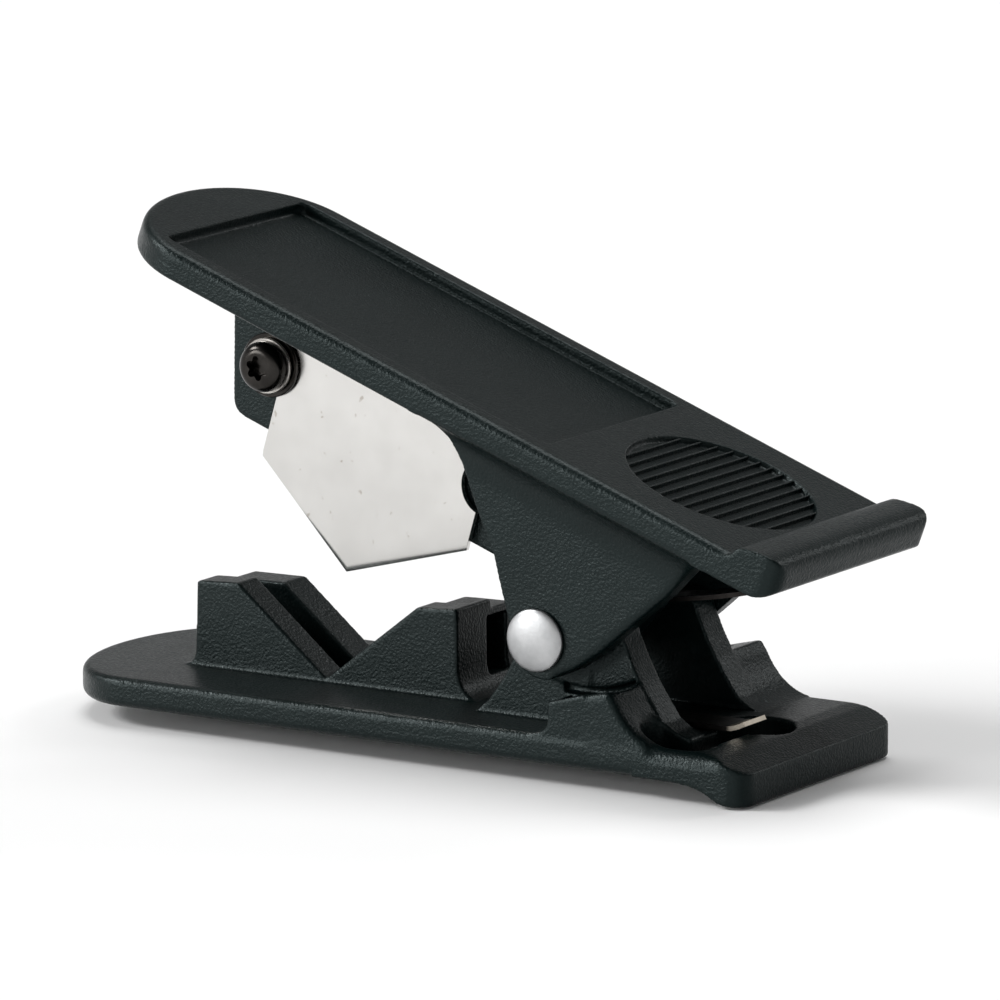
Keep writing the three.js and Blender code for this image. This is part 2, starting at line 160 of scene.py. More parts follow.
def across(outline, near, far):
    """Solid with a side view of [x, z] points and a thickness along Y."""
    return loft([[(x, y, z) for x, z in outline] for y in (near, far)])


def upright(plan, low, high):
    """Solid with a plan of [x, y] points and a height."""
    return loft([[(x, y, z) for x, y in plan] for z in (low, high)])


def rod(x, z, radius, near, far, sides=64):
    return across(arc(x, z, radius, 0, 2 * math.pi, sides)[:-1], near, far)


def arc(x, z, radius, start, end, steps, stretch=1.0):
    """Points on an arc; stretch scales it along the second axis."""
    points = []
    for i in range(steps + 1):
        angle = start + (end - start) * i / steps
        points.append((x + radius * math.cos(angle), z + stretch * radius * math.sin(angle)))
    return points


def curve(start, bend, end, steps=8):
    """Points on a quadratic curve, the start left out."""
    points = []
    for i in range(1, steps + 1):
        t = i / steps
        points.append(tuple(
            (1 - t) ** 2 * a + 2 * t * (1 - t) * b + t * t * c for a, b, c in zip(start, bend, end)))
    return points


def apply_modifiers(obj):
    graph = bpy.context.evaluated_depsgraph_get()
    mesh = bpy.data.meshes.new_from_object(obj.evaluated_get(graph))
    obj.modifiers.clear()
    obj.data = mesh


def combine(body, tool, operation):
    modifier = body.modifiers.new("combine", "BOOLEAN")
    modifier.operation = operation
    modifier.object = tool
    modifier.solver = "MANIFOLD"
    apply_modifiers(body)
    bpy.data.objects.remove(tool)
    return body


def join(body, *tools):
    for tool in tools:
        combine(body, tool, "UNION")
    return body


def cut(body, *tools):
    for tool in tools:
        combine(body, tool, "DIFFERENCE")
    return body


def keep(body, tool):
    return combine(body, tool, "INTERSECT")


def mirrored(obj):
    """A copy of obj on the other side of the middle plane."""
    copy = new_object(obj.name, obj.data.copy())
    copy.data.transform(Matrix.Scale(-1, 4, (0, 1, 0)))
    copy.data.flip_normals()
    return copy


def add_smoothing(obj, passes, group=""):
    smooth = obj.modifiers.new("smooth", "SMOOTH")
    smooth.factor = 0.5
    smooth.iterations = passes
    smooth.vertex_group = group


def moulded(obj, is_soft):
    """Gives a solid the even skin of a moulding; is_soft picks vertices with a broader rounding."""
    remesh = obj.modifiers.new("skin", "REMESH")
    remesh.mode = "VOXEL"
    remesh.voxel_size = VOXEL
    apply_modifiers(obj)
    group = obj.vertex_groups.new(name="soft")
    group.add([v.index for v in obj.data.vertices if is_soft(*v.co)], 1.0, "REPLACE")
    add_smoothing(obj, SOFT_PASSES, "soft")
    add_smoothing(obj, FILLET_PASSES)
    apply_modifiers(obj)
    obj.vertex_groups.clear()
    for polygon in obj.data.polygons:
        polygon.use_smooth = True
    return obj


def finished(obj, name, body, material, transform, replaced, sharp=None):
    """Puts a built solid in its place and hands it over; edges over sharp degrees stay sharp."""
    obj.name = name
    obj.data.name = name
    obj.data.transform(Matrix.Scale(MM, 4) @ transform)
    if sharp is not None:
        obj.data.shade_smooth()
        obj.data.set_sharp_from_angle(angle=math.radians(sharp))
    obj.data.materials.clear()
    obj.data.materials.append(material)
    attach(obj, body)
    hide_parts(*replaced)
    return obj


def lathe(profile, x, z, steps=72):
    """Turned solid along Y through (x, z) from [radius, y] points; it starts and ends on the axis."""
    vertices = []
    rows = []
    for radius, y in profile:
        if radius < 1e-6:
            rows.append([len(vertices)])
            vertices.append((x, y, z))
            continue
        rows.append(list(range(len(vertices), len(vertices) + steps)))
        for i in range(steps):
            angle = 2 * math.pi * i / steps
            vertices.append((x + radius * math.cos(angle), y, z + radius * math.sin(angle)))
    faces = []
    for one, two in zip(rows, rows[1:]):
        for i in range(steps):
            j = (i + 1) % steps
            corners = [one[i % len(one)], one[j % len(one)], two[j % len(two)], two[i % len(two)]]
            faces.append(list(dict.fromkeys(corners)))
    return from_lists("lathe", vertices, faces)


# ---- Shared outline of the jaw plates ----

def plate_plan(nose, rear, corner, inset=0.0):
    """Half an ellipse at the nose, straight sides and rounded rear corners, drawn inset."""
    shoulder = nose + NOSE_REACH
    reach, side = NOSE_REACH - inset, HALF - inset
    radius = max(corner - inset, 0.2)
    points = arc(shoulder, 0, reach, math.pi / 2, 1.5 * math.pi, 48, side / reach)
    points += arc(rear - inset - radius, radius - side, radius, -math.pi / 2, 0, 8)
    points += arc(rear - inset - radius, side - radius, radius, 0, math.pi / 2, 8)
    return points


def rounded_rectangle(front, rear, near, far, corner, steps=6):
    """Plan of a rectangle with rounded corners."""
    quarter = math.pi / 2
    points = arc(rear - corner, far - corner, corner, 0, quarter, steps)
    points += arc(front + corner, far - corner, corner, quarter, 2 * quarter, steps)
    points += arc(front + corner, near + corner, corner, 2 * quarter, 3 * quarter, steps)
    points += arc(rear - corner, near + corner, corner, 3 * quarter, 4 * quarter, steps)
    return points


def rounded_plate(nose, rear, corner, low, high, top_edge, low_edge):
    """Plate with its upper and lower edges rounded."""
    levels = []
    steps = 5
    for i in range(steps + 1):
        angle = math.pi / 2 * i / steps
        levels.append((low_edge * (1 - math.sin(angle)), low + low_edge * (1 - math.cos(angle))))
    for i in range(steps + 1):
        angle = math.pi / 2 * i / steps
        levels.append((top_edge * (1 - math.cos(angle)), high - top_edge * (1 - math.sin(angle))))
    return loft([[(x, y, z) for x, y in plate_plan(nose, rear, corner, inset)] for inset, z in levels])


# ---- Lower jaw ----

def base_plate():
    """Plate that is thinner than its rear pad, with the rear end of the pad sloping down."""
    plate = rounded_plate(
        BASE_NOSE, BASE_REAR, BASE_CORNER, BASE_UNDER, BASE_TOP, BASE_TOP_EDGE, BASE_LOW_EDGE)
    pad = rounded_plate(BASE_NOSE, BASE_REAR, BASE_CORNER, 0.0, BASE_TOP, BASE_TOP_EDGE, PAD_LOW_EDGE)
    pad_side = [(30, BASE_TOP + 1), (30, BASE_UNDER), (34.2, BASE_UNDER)]
    pad_side += curve((34.2, BASE_UNDER), (37.5, BASE_UNDER), (39.3, 1.0))
    pad_side += curve((39.3, 1.0), (40.8, 0.0), (42.4, 0.0))
    pad_side += [(BASE_REAR + 1, 0), (BASE_REAR + 1, BASE_TOP + 1)]
    keep(pad, across(pad_side, -HALF - 1, HALF + 1))
    join(plate, pad)
    rear_slope = [(38.4, BASE_TOP), (40.0, BASE_TOP - 0.25), (BASE_REAR, 3.6), (BASE_REAR + 2, 2.7)]
    rear_slope += [(BASE_REAR + 2, BASE_TOP + 2), (38.4, BASE_TOP + 2)]
    return cut(plate, across(rear_slope, -HALF - 1, HALF + 1))


def anvil_blocks():
    """Two blocks with the V-shaped tube seat between them, lower beyond the slot."""
    side = [(-34.4, BASE_ROOT), (-34.4, BASE_TOP)]
    side += curve((-34.4, BASE_TOP), (-32.7, BASE_TOP), (-32.6, 7.0))
    side += [(-32.3, 14.8), (-26.9, 15.1), (-15.4, 5.7), (-3.6, 14.9), (1.5, 15.2), (1.6, 8.7)]
    side += curve((1.6, 8.7), (1.7, 5.9), (4.2, BASE_TOP))
    side += [(4.2, BASE_ROOT)]
    blocks = across(side, -ANVIL_HALF, ANVIL_HALF)
    far_top = [(-36, 14.8 - FAR_DROP), (-20, 15.1 - FAR_DROP), (-8, 14.9 - FAR_DROP)]
    far_top += [(4, 15.2 - FAR_DROP), (4, 18), (-36, 18)]
    return cut(blocks, across(far_top, SLOT_FAR, ANVIL_HALF + 1))


def blade_slot():
    """Slot that the blade comes down in; it stops short of the rear face of the rear block."""
    front, rear, above = -35, 0.4, 18
    side = [(front, SLOT_FLOOR + 6), (-22, SLOT_FLOOR), (-8, SLOT_FLOOR), (rear, SLOT_FLOOR + 2.5)]
    return across(side + [(rear, above), (front, above)], SLOT_NEAR, SLOT_FAR)


def block_recess():
    """Recess in the rear face of the rear block, below its far top."""
    near, far, front, low, high = 0.3, 4.2, -1.6, 7.0, 13.4
    return across([(front, low + 1), (front + 1, low), (4, low), (4, high), (front, high)], near, far)


def wall_side():
    """Side view of a pivot wall."""
    side = [(6.0, BASE_ROOT), (6.2, BASE_TOP), (6.9, 5.8), (7.8, 6.6), (8.8, 7.9), (10.0, 9.6)]
    side += [(11.2, 11.8), (12.4, 15.0)] + curve((12.4, 15.0), (13.2, 17.4), (15.2, 17.4))
    side += [(23.2, 17.4)] + curve((23.2, 17.4), (24.4, 17.3), (24.9, 15.3))
    side += [(26.0, 12.9), (27.3, 10.5), (28.7, 8.4), (30.0, 6.6), (31.4, 5.7)]
    side += [(33.0, BASE_TOP), (33.0, BASE_ROOT)]
    return side


def pivot_wall():
    return across(wall_side(), WALL_INNER, WALL_OUTER)


def shoulder():
    """Shoulder outside the wall, under the ear of the lever."""
    side = [(17.0, BASE_ROOT), (17.2, BASE_TOP)] + curve((17.2, BASE_TOP), (19.3, 5.3), (19.4, 7.0))
    side += [(19.4, 8.85), (23.0, 9.9), (26.9, 10.85), (27.7, 9.7)]
    side += curve((27.7, 9.7), (29.5, 6.0), (33.0, BASE_TOP)) + [(33.0, BASE_ROOT)]
    block = across(side, WALL_OUTER - 0.2, HALF)
    return keep(block, upright(plate_plan(BASE_NOSE, BASE_REAR, BASE_CORNER, 0.15), 0, 20))


def ear_hollow(rear, near, far):
    """Hollow in the top of a shoulder, beside the wall, that the ear moves over."""
    plan = rounded_rectangle(HOLLOW_FRONT, rear, near, far, POCKET_CORNER)
    return upright(plan, HOLLOW_FLOOR, PIVOT_Z)


def arc_undercut():
    """Lets the near hollow run into the wall below the arc of the boss, so that the arc overhangs."""
    lead, lift, corner, lap = 2.5, 0.6, 0.8, 0.1
    outside, inside = -WALL_OUTER - 2.0, ARC_UNDERCUT - WALL_OUTER
    plan = rounded_rectangle(HOLLOW_FRONT - lead, HOLLOW_REAR, outside, inside, corner)
    block = upright(plan, HOLLOW_FLOOR + lift, PIVOT_Z)
    return cut(block, rod(BOSS_X, BOSS_Z, BOSS_RADIUS - lap, outside, -4, BOSS_SIDES))


def foot_pocket():
    """Pocket beside the foot of the near wall, open into the channel behind the foot."""
    wall = -WALL_OUTER - WALL_GAP
    beside = rounded_rectangle(POCKET_FRONT, POCKET_REAR, -POCKET_SIDE, wall, POCKET_CORNER)
    behind = rounded_rectangle(FOOT_GAP_FRONT, POCKET_REAR, -POCKET_SIDE, FOOT_GAP_FAR, POCKET_CORNER)
    return join(upright(beside, POCKET_FLOOR, PIVOT_Z), upright(behind, POCKET_FLOOR, PIVOT_Z))


def rim_round():
    """What the broad rounding of the near rim beside the pocket takes away."""
    radius, front, rear = 1.7, 31.8, BASE_REAR - 3.0
    beyond, above = -HALF - 1, BASE_TOP + 1
    section = arc(radius - HALF, BASE_TOP - radius, radius, math.pi / 2, math.pi, 10)
    section += [(beyond, BASE_TOP - radius), (beyond, above), (radius - HALF, above)]
    return loft([[(x, y, z) for y, z in section] for x in (front, rear)])


def wall_boss():
    """Low boss on the outer face of a wall; its lower edge is an arc above the hollow."""
    boss = rod(BOSS_X, BOSS_Z, BOSS_RADIUS, WALL_OUTER - 0.2, WALL_OUTER + BOSS_RISE, BOSS_SIDES)
    return keep(boss, across(wall_side(), WALL_OUTER - 1, WALL_OUTER + 1))


def soft_in_base(x, y, z):
    """The rear of the near shoulder and the rim of the pocket, outside the wall."""
    return 24.0 < x < BASE_REAR - 4.0 and y < -WALL_OUTER - 0.6 and z > BASE_TOP - 1.5


def build_base(material):
    wall = join(pivot_wall(), shoulder(), wall_boss())
    body = join(base_plate(), anvil_blocks(), mirrored(wall), wall)
    hole = upright(arc(PAD_HOLE_X, 0, PAD_HOLE_RADIUS, 0, 2 * math.pi, 64)[:-1], -1, 8)
    pin = rod(PIVOT_X, PIVOT_Z, PIN_RADIUS + CLEARANCE, -HALF, HALF)
    far_hollow = ear_hollow(FAR_HOLLOW_REAR, WALL_OUTER + WALL_GAP, HOLLOW_SIDE)
    near_hollow = ear_hollow(HOLLOW_REAR, -HOLLOW_SIDE, -WALL_OUTER - WALL_GAP)
    cut(body, blade_slot(), block_recess(), hole, pin, rim_round(), foot_pocket(), far_hollow)
    cut(body, near_hollow, arc_undercut())
    moulded(body, soft_in_base)
    return finished(body, "lower_jaw", "base", material, TO_PART, ["base"])


# ---- Upper jaw, in its own frame ----

def lever_plate():
    """Plate with a raised lip across its rear end, rounded away underneath."""
    plate = rounded_plate(
        LEVER_NOSE, LEVER_REAR, LEVER_CORNER, LEVER_UNDER, LEVER_TOP, LEVER_TOP_EDGE, LEVER_LOW_EDGE)
    lip = [(18.0, LEVER_UNDER + 0.5), (18.0, LEVER_TOP - 1), (19.5, LEVER_TOP - 0.3), (20.0, LEVER_TOP)]
    lip += [(20.5, 21.8)] + curve((20.5, 21.8), (20.8, 22.3), (23.4, 22.65))
    lip += curve((23.4, 22.65), (25.9, 23.0), (LEVER_REAR, 21.2))
    lip += [(LEVER_REAR, 19.4)] + curve((LEVER_REAR, 19.4), (25.4, 18.0), (23.2, LEVER_UNDER + 0.05))
    plan = upright(plate_plan(LEVER_NOSE, LEVER_REAR, LEVER_CORNER), LEVER_UNDER, LEVER_TOP + 3)
    rounded_lip = keep(across(lip, -HALF, HALF), plan)
    under = [(23.2, LEVER_UNDER)] + curve((23.2, LEVER_UNDER), (25.4, 18.0), (LEVER_REAR, 19.4))
    under += [(LEVER_REAR + 1, 19.4), (LEVER_REAR + 1, LEVER_UNDER - 1), (23.2, LEVER_UNDER - 1)]
    return join(cut(plate, across(under, -HALF - 1, HALF + 1)), rounded_lip)


def panel_pocket():
    """The sunk panel in the top of the plate."""
    front, rear, side, corner, depth = -57.7, -5.8, 13.5, 0.8, 1.3
    plan = rounded_rectangle(front, rear, -side, side, corner)
    return upright(plan, LEVER_TOP - depth, LEVER_TOP + 1)


def oval(reach, side, steps=72):
    return arc(REST["x"], REST["y"], reach, 0, 2 * math.pi, steps, side / reach)[:-1]


def ear():
    """Far ear; its outer face flares out to the side of the plate."""
    side = [(-22.4, LEVER_ROOT), (-21.6, LEVER_UNDER)]
    side += [(-19.4, 17.3), (-17.3, 16.2), (-15.7, 14.5), (-12.5, 10.8), (-9.7, 7.9), (-8.2, 6.4)]
    side += [(-6.6, 4.1), (-5.1, 2.0)]
    side += arc(0.8, 0, 4.0, math.pi + 0.15, 2 * math.pi - 0.7, 14)
    side += [(5.5, -0.95), (7.7, 2.2), (10.4, 7.2), (12.8, 11.4), (14.2, 14.6)]
    side += curve((14.2, 14.6), (15.2, 17.0), (17.6, LEVER_UNDER)) + [(17.8, LEVER_ROOT)]
    sweep = HALF - EAR_OUTER
    flare = arc(HALF, LEVER_UNDER - EAR_FLARE, sweep, math.pi / 2, math.pi, 12, EAR_FLARE / sweep)
    outside = [(EAR_OUTER, -10), (HALF + 1, -10), (HALF + 1, LEVER_UNDER)] + flare
    cutter = loft([[(x, y, z) for y, z in outside] for x in (-30, 30)])
    return cut(across(side, EAR_INNER, HALF - 0.05), cutter)


def web():
    """Web down the middle of the lever, behind the blade."""
    side = [(-56.4, LEVER_ROOT), (-56.2, LEVER_UNDER), (-53.7, 10.5), (-51.0, 2.9)]
    side += curve((-51.0, 2.9), (-50.4, WEB_UNDER), (-48.9, WEB_UNDER)) + [(-6.0, WEB_UNDER)]
    side += curve((-6.0, WEB_UNDER), (-4.2, WEB_UNDER), (-3.7, -1.5))
    side += arc(0, 0, WEB_HUB, math.pi + 0.38, 2 * math.pi - 0.1, 16)
    side += [(8.2, 9.9)] + curve((8.2, 9.9), (11.5, 15.8), (16.0, LEVER_UNDER)) + [(16.4, LEVER_ROOT)]
    return across(side, WEB_NEAR, WEB_FAR)


def soft_in_lever(x, y, z):
    """The outer rear edges of the ears, and where the ears run out into the sides of the plate."""
    rear_edge = x > 3.2 and abs(y) > EAR_INNER + 1.2 and -4.5 < z < LEVER_UNDER - 0.3
    run_out = -20.5 < x < 16.0 and abs(y) > HALF - 1.2 and LEVER_UNDER - 1.4 < z < LEVER_UNDER + 0.5
    return rear_edge or run_out


def build_lever(material):
    one_ear = ear()
    body = join(lever_plate(), web(), mirrored(one_ear), one_ear)
    rest = upright(oval(REST["reach"], REST["side"]), LEVER_TOP - REST["depth"], LEVER_TOP + 1)
    pin = rod(0, 0, PIN_RADIUS + CLEARANCE, -HALF, HALF)
    screw = rod(SCREW_X, SCREW_Z, SCREW_SHANK + CLEARANCE, -HALF, HALF)
    cut(body, panel_pocket(), rest, pin, screw)
    moulded(body, soft_in_lever)
    return finished(
        body, "upper_jaw", "lever", material, LEVER_TO_PART, ["lever"])


def build_ribs(material):
    """Thin ribs across the oval finger rest, each with a rounded crest."""
    pitch = 2 * REST["reach"] / (REST["ribs"] + 1)
    half, spread, overlap = 0.13, 0.05, 0.15
    crest = LEVER_TOP - 0.1
    foot = LEVER_TOP - REST["depth"] - 0.3
    ribs = None
    for i in range(1, REST["ribs"] + 1):
        offset = i * pitch - REST["reach"]
        reach = REST["side"] * math.sqrt(1 - (offset / REST["reach"]) ** 2) + overlap
        x = REST["x"] + offset
        section = [(x - half - spread, foot), (x - half, crest - half)]
        section += arc(x, crest - half, half, math.pi, 0, 8)[1:]
        section += [(x + half + spread, foot)]
        rib = across(section, REST["y"] - reach, REST["y"] + reach)
        ribs = rib if ribs is None else join(ribs, rib)
    return finished(
        ribs, "finger_rest_ribs", "lever", material, LEVER_TO_PART, [], sharp=40)


# ---- Blade and its fastening ----

def soften(obj, width, segments):
    """Rounds the sharp edges of a small solid."""
    bevel = obj.modifiers.new("edges", "BEVEL")
    bevel.width = width
    bevel.segments = segments
    bevel.limit_method = "ANGLE"
    bevel.angle_limit = math.radians(25)
    apply_modifiers(obj)


def node_ends(node):
    """Near and far ends of a CAD node along Y, in millimetres."""
    low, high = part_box(node)
    return low[1] / MM, high[1] / MM


def build_blade(material):
    """Blade with its two cutting edges ground from the near side."""
    slope = math.atan2(BLADE_VEE, BLADE_HALF)
    rise = BLADE_BEVEL / math.cos(slope)
    notch = {"x": BLADE_HALF + 0.6, "z": 16.1, "radius": 3.3}
    reach = math.acos((BLADE_HALF - notch["x"]) / notch["radius"])

    def face(lift):
        points = [(0, lift), (BLADE_HALF, BLADE_VEE + lift)]
        points += arc(notch["x"], notch["z"], notch["radius"], 2 * math.pi - reach, reach, 24)
        points += [(BLADE_HALF, BLADE_HEIGHT), (-BLADE_HALF, BLADE_HEIGHT), (-BLADE_HALF, BLADE_VEE + lift)]
        return points

    heel = BLADE_NEAR + 0.3 * (BLADE_FAR - BLADE_NEAR)
    levels = [(BLADE_NEAR, rise), (heel, 0.06 * rise), (BLADE_FAR, 0.0)]
    plate = loft([[(x, y, z) for x, z in face(lift)] for y, lift in levels])
    plate.data.transform(
        Matrix.Translation((BLADE_TIP_X, 0, BLADE_TIP_Z)) @ Matrix.Rotation(-BLADE_LEAN, 4, "Y"))
    cut(plate, rod(SCREW_X, SCREW_Z, SCREW_SHANK + CLEARANCE, -HALF, HALF))
    soften(plate, width=0.04, segments=2)
    return finished(
        plate, "cutting_blade", "lever", material, LEVER_TO_PART, ["blade"], sharp=20)


def six_lobed_socket(head):
    """Recess of six lobes in a screw head that starts at head along Y."""
    lobes, size, wave, ripple, depth, steps = 6, 1.22, 0.2, 0.03, 1.1, 72
    outline = []
    for i in range(steps):
        angle = 2 * math.pi * i / steps
        radius = size + wave * math.cos(lobes * angle) - ripple * math.cos(2 * lobes * angle)
        outline.append((SCREW_X + radius * math.cos(angle), SCREW_Z + radius * math.sin(angle)))
    return across(outline, head - 1, head + depth)


def build_screw(material):
    near, far = node_ends("blade_screw")
    head_face = node_ends("lock_washer")[0] - 0.2
    radius, flat, dome, edge = 2.8, 1.55, 1.15, 0.06
    profile = [(0.0, near)]
    steps = 10
    for i in range(steps + 1):
        angle = math.pi / 2 * i / steps
        profile.append((flat + (radius - flat) * math.sin(angle), near + dome * (1 - math.cos(angle))))
    profile += [(radius, head_face - edge), (radius - edge, head_face), (SCREW_SHANK, head_face)]
    pitch, groove, end_taper = 0.5, 0.22, 0.4
    thread = head_face
    while thread < far - 2 * pitch:
        profile += [(SCREW_SHANK - groove, thread + pitch / 2), (SCREW_SHANK, thread + pitch)]
        thread += pitch
    profile += [(SCREW_SHANK - end_taper, far), (0.0, far)]
    screw = lathe(profile, SCREW_X, SCREW_Z)
    cut(screw, six_lobed_socket(near))
    return finished(
        screw, "blade_screw_head", "lever", material, LEVER_TO_PART, ["blade_screw"],
        sharp=35)


def ring(near, far, inner, outer, edge):
    """Washer on the screw, with all four edges broken."""
    profile = [(inner, near + edge), (inner + edge, near), (outer - edge, near), (outer, near + edge)]
    profile += [(outer, far - edge), (outer - edge, far), (inner + edge, far), (inner, far - edge)]
    steps = 96
    vertices = []
    for i in range(steps):
        angle = 2 * math.pi * i / steps
        for radius, y in profile:
            vertices.append((SCREW_X + radius * math.cos(angle), y, SCREW_Z + radius * math.sin(angle)))
    count = len(profile)
    faces = []
    for i in range(steps):
        for j in range(count):
            a, b = i * count + j, i * count + (j + 1) % count
            c, d = ((i + 1) % steps) * count + (j + 1) % count, ((i + 1) % steps) * count + j
            faces.append([a, b, c, d])
    return from_lists("ring", vertices, faces)


def build_washers(plain, dark):
    """Split washer with a slanting slit, and a flat washer."""
    inner = SCREW_SHANK + CLEARANCE
    near, far = node_ends("lock_washer")
    lock = ring(near, far, inner, 3.1, 0.08)
    slit = across([(0.8, -0.30), (4.0, 0.10), (4.0, 0.45), (0.8, 0.05)], -HALF, HALF)
    slit_angle = math.radians(125)
    slit.data.transform(
        Matrix.Translation((SCREW_X, 0, SCREW_Z)) @ Matrix.Rotation(slit_angle, 4, "Y"))
    cut(lock, slit)
    finished(
        lock, "split_washer", "lever", plain, LEVER_TO_PART, ["lock_washer"], sharp=35)
    near, far = node_ends("flat_washer")
    flat = ring(near, far, inner, 3.6, 0.1)
    finished(
        flat, "plain_washer", "lever", dark, LEVER_TO_PART, ["flat_washer"], sharp=35)


def build_nut(material):
    """Hexagon nut, chamfered on both faces."""
    near, far = node_ends("screw_nut")
    across_flats, sides = 5.5, 6
    corner = across_flats / math.sqrt(3)
    nut = rod(SCREW_X, SCREW_Z, corner, near, far, sides)
    face, beyond, depth = corner - 0.55, corner + 0.1, 0.45
    chamfer = [(0, near), (face, near), (beyond, near + depth)]
    chamfer += [(beyond, far - depth), (face, far), (0, far)]
    keep(nut, lathe(chamfer, SCREW_X, SCREW_Z))
    cut(nut, rod(SCREW_X, SCREW_Z, SCREW_SHANK + 0.1, near - 1, far + 1))
    return finished(
        nut, "hex_nut", "lever", material, LEVER_TO_PART, ["screw_nut"], sharp=30)


# ---- Rivet and spring ----

def build_rivet(material):
    """Rivet with the same domed head at both ends."""
    end = RIVET_HIGH[1]
    radius = (RIVET_HIGH[0] - RIVET_LOW[0]) / 2
    seat = EAR_OUTER + 0.15
    rim, edge = 0.25, 0.08
    steps = 12
    half = []
    for i in range(steps + 1):
        angle = math.pi / 2 * i / steps
        half.append((radius * math.sin(angle), seat + rim + (end - seat - rim) * math.cos(angle)))
    half += [(radius, seat + edge), (radius - edge, seat), (PIN_RADIUS, seat)]
    other = [(r, -y) for r, y in reversed(half)]
    rivet = lathe(half + other, PIVOT_X, PIVOT_Z)
    return finished(
        rivet, "rivet", "base", material, TO_PART, ["pivot_rivet"], sharp=40)


def spring_path(thick, loop):
    """Middle line of the spring, from its lower end to its upper end."""
    floor = BASE_TOP + CLEARANCE + thick / 2
    foot = (20.6, 7.6)
    wrap = 0.9
    leave = 0.17
    path = [(37.5, floor + 0.75), (36.6, floor + 0.32), (35.8, floor + 0.06), (35.0, floor), (25.5, floor)]
    path += curve((25.5, floor), (22.8, floor), foot)
    lead = (PIVOT_X - loop * math.cos(wrap), PIVOT_Z - loop * math.sin(wrap))
    path += [tuple((a + b) / 2 for a, b in zip(foot, lead))]
    path += arc(PIVOT_X, PIVOT_Z, loop, math.pi + wrap, math.pi / 2 + leave, 20)
    path += curve(path[-1], (24.0, 18.6), (30.6, 19.5), 12)
    path += curve((30.6, 19.5), (38.0, 20.6), SPRING_TIP, 14)
    return path


def offset_path(path, distance):
    """The points of a path, each moved square to it."""
    points = []
    for i, (x, z) in enumerate(path):
        before, after = path[max(i - 1, 0)], path[min(i + 1, len(path) - 1)]
        dx, dz = after[0] - before[0], after[1] - before[1]
        length = math.hypot(dx, dz)
        points.append((x - dz / length * distance, z + dx / length * distance))
    return points


def strip_mesh(path, thick, near, far):
    """Strip of even thickness along a path."""
    vertices = []
    for one, two in zip(offset_path(path, thick / 2), offset_path(path, -thick / 2)):
        vertices += [(one[0], near, one[1]), (one[0], far, one[1])]
        vertices += [(two[0], far, two[1]), (two[0], near, two[1])]
    last = len(vertices) - 4
    faces = [[0, 1, 2, 3], [last + 3, last + 2, last + 1, last]]
    for i in range(len(path) - 1):
        for j in range(4):
            k = (j + 1) % 4
            faces.append([4 * i + j, 4 * i + k, 4 * i + 4 + k, 4 * i + 4 + j])
    return from_lists("strip", vertices, faces)


def build_spring(material):
    """Strip bent round the rivet."""
    thick, loop, side_gap = 0.5, 2.6, 0.02
    near, far = SPRING_LOW[1] + side_gap, SPRING_HIGH[1] - side_gap
    strip = strip_mesh(spring_path(thick, loop), thick, near, far)
    strip.name = "spring_strip"
    strip.data.transform(Matrix.Scale(MM, 4) @ TO_PART)
    strip.data.shade_smooth()
    strip.data.set_sharp_from_angle(angle=math.radians(35))
    strip.data.materials.append(material)
    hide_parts("leaf_spring")
    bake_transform(strip)
    return strip


# ---- Materials ----

def new_material(name):
    material = bpy.data.materials.new(name)
    material.use_nodes = True
    tree = material.node_tree
    shader = tree.nodes["Principled BSDF"]
    coordinates = tree.nodes.new("ShaderNodeTexCoord")
    return material, tree, shader, coordinates.outputs["Object"]


def noise(tree, coordinates, scale, detail=3.0, roughness=0.5):
    node = tree.nodes.new("ShaderNodeTexNoise")
    node.inputs["Scale"].default_value = scale
    node.inputs["Detail"].default_value = detail
    node.inputs["Roughness"].default_value = roughness
    tree.links.new(coordinates, node.inputs["Vector"])
    return node.outputs["Fac"]


def remap(tree, value, low, high, from_low=0.3, from_high=0.7):
    node = tree.nodes.new("ShaderNodeMapRange")
    node.inputs["From Min"].default_value = from_low
    node.inputs["From Max"].default_value = from_high
    node.inputs["To Min"].default_value = low
    node.inputs["To Max"].default_value = high
    tree.links.new(value, node.inputs["Value"])
    return node.outputs["Result"]


def mix_colour(tree, factor, one, two):
    """Mixes two colours; the first may also be the output of another node."""
    node = tree.nodes.new("ShaderNodeMix")
    node.data_type = "RGBA"
    if isinstance(one, tuple):
        node.inputs["A"].default_value = (*one, 1)
    else:
        tree.links.new(one, node.inputs["A"])
    node.inputs["B"].default_value = (*two, 1)
    tree.links.new(factor, node.inputs["Factor"])
    return node.outputs["Result"]


def split_axes(tree, vector):
    node = tree.nodes.new("ShaderNodeSeparateXYZ")
    tree.links.new(vector, node.inputs["Vector"])
    return node.outputs


def bump(tree, shader, height, strength, distance, below=None):
    node = tree.nodes.new("ShaderNodeBump")
    node.inputs["Strength"].default_value = strength
    node.inputs["Distance"].default_value = distance
    tree.links.new(height, node.inputs["Height"])
    if below is not None:
        tree.links.new(below, node.inputs["Normal"])
    tree.links.new(node.outputs["Normal"], shader.inputs["Normal"])
    return node.outputs["Normal"]


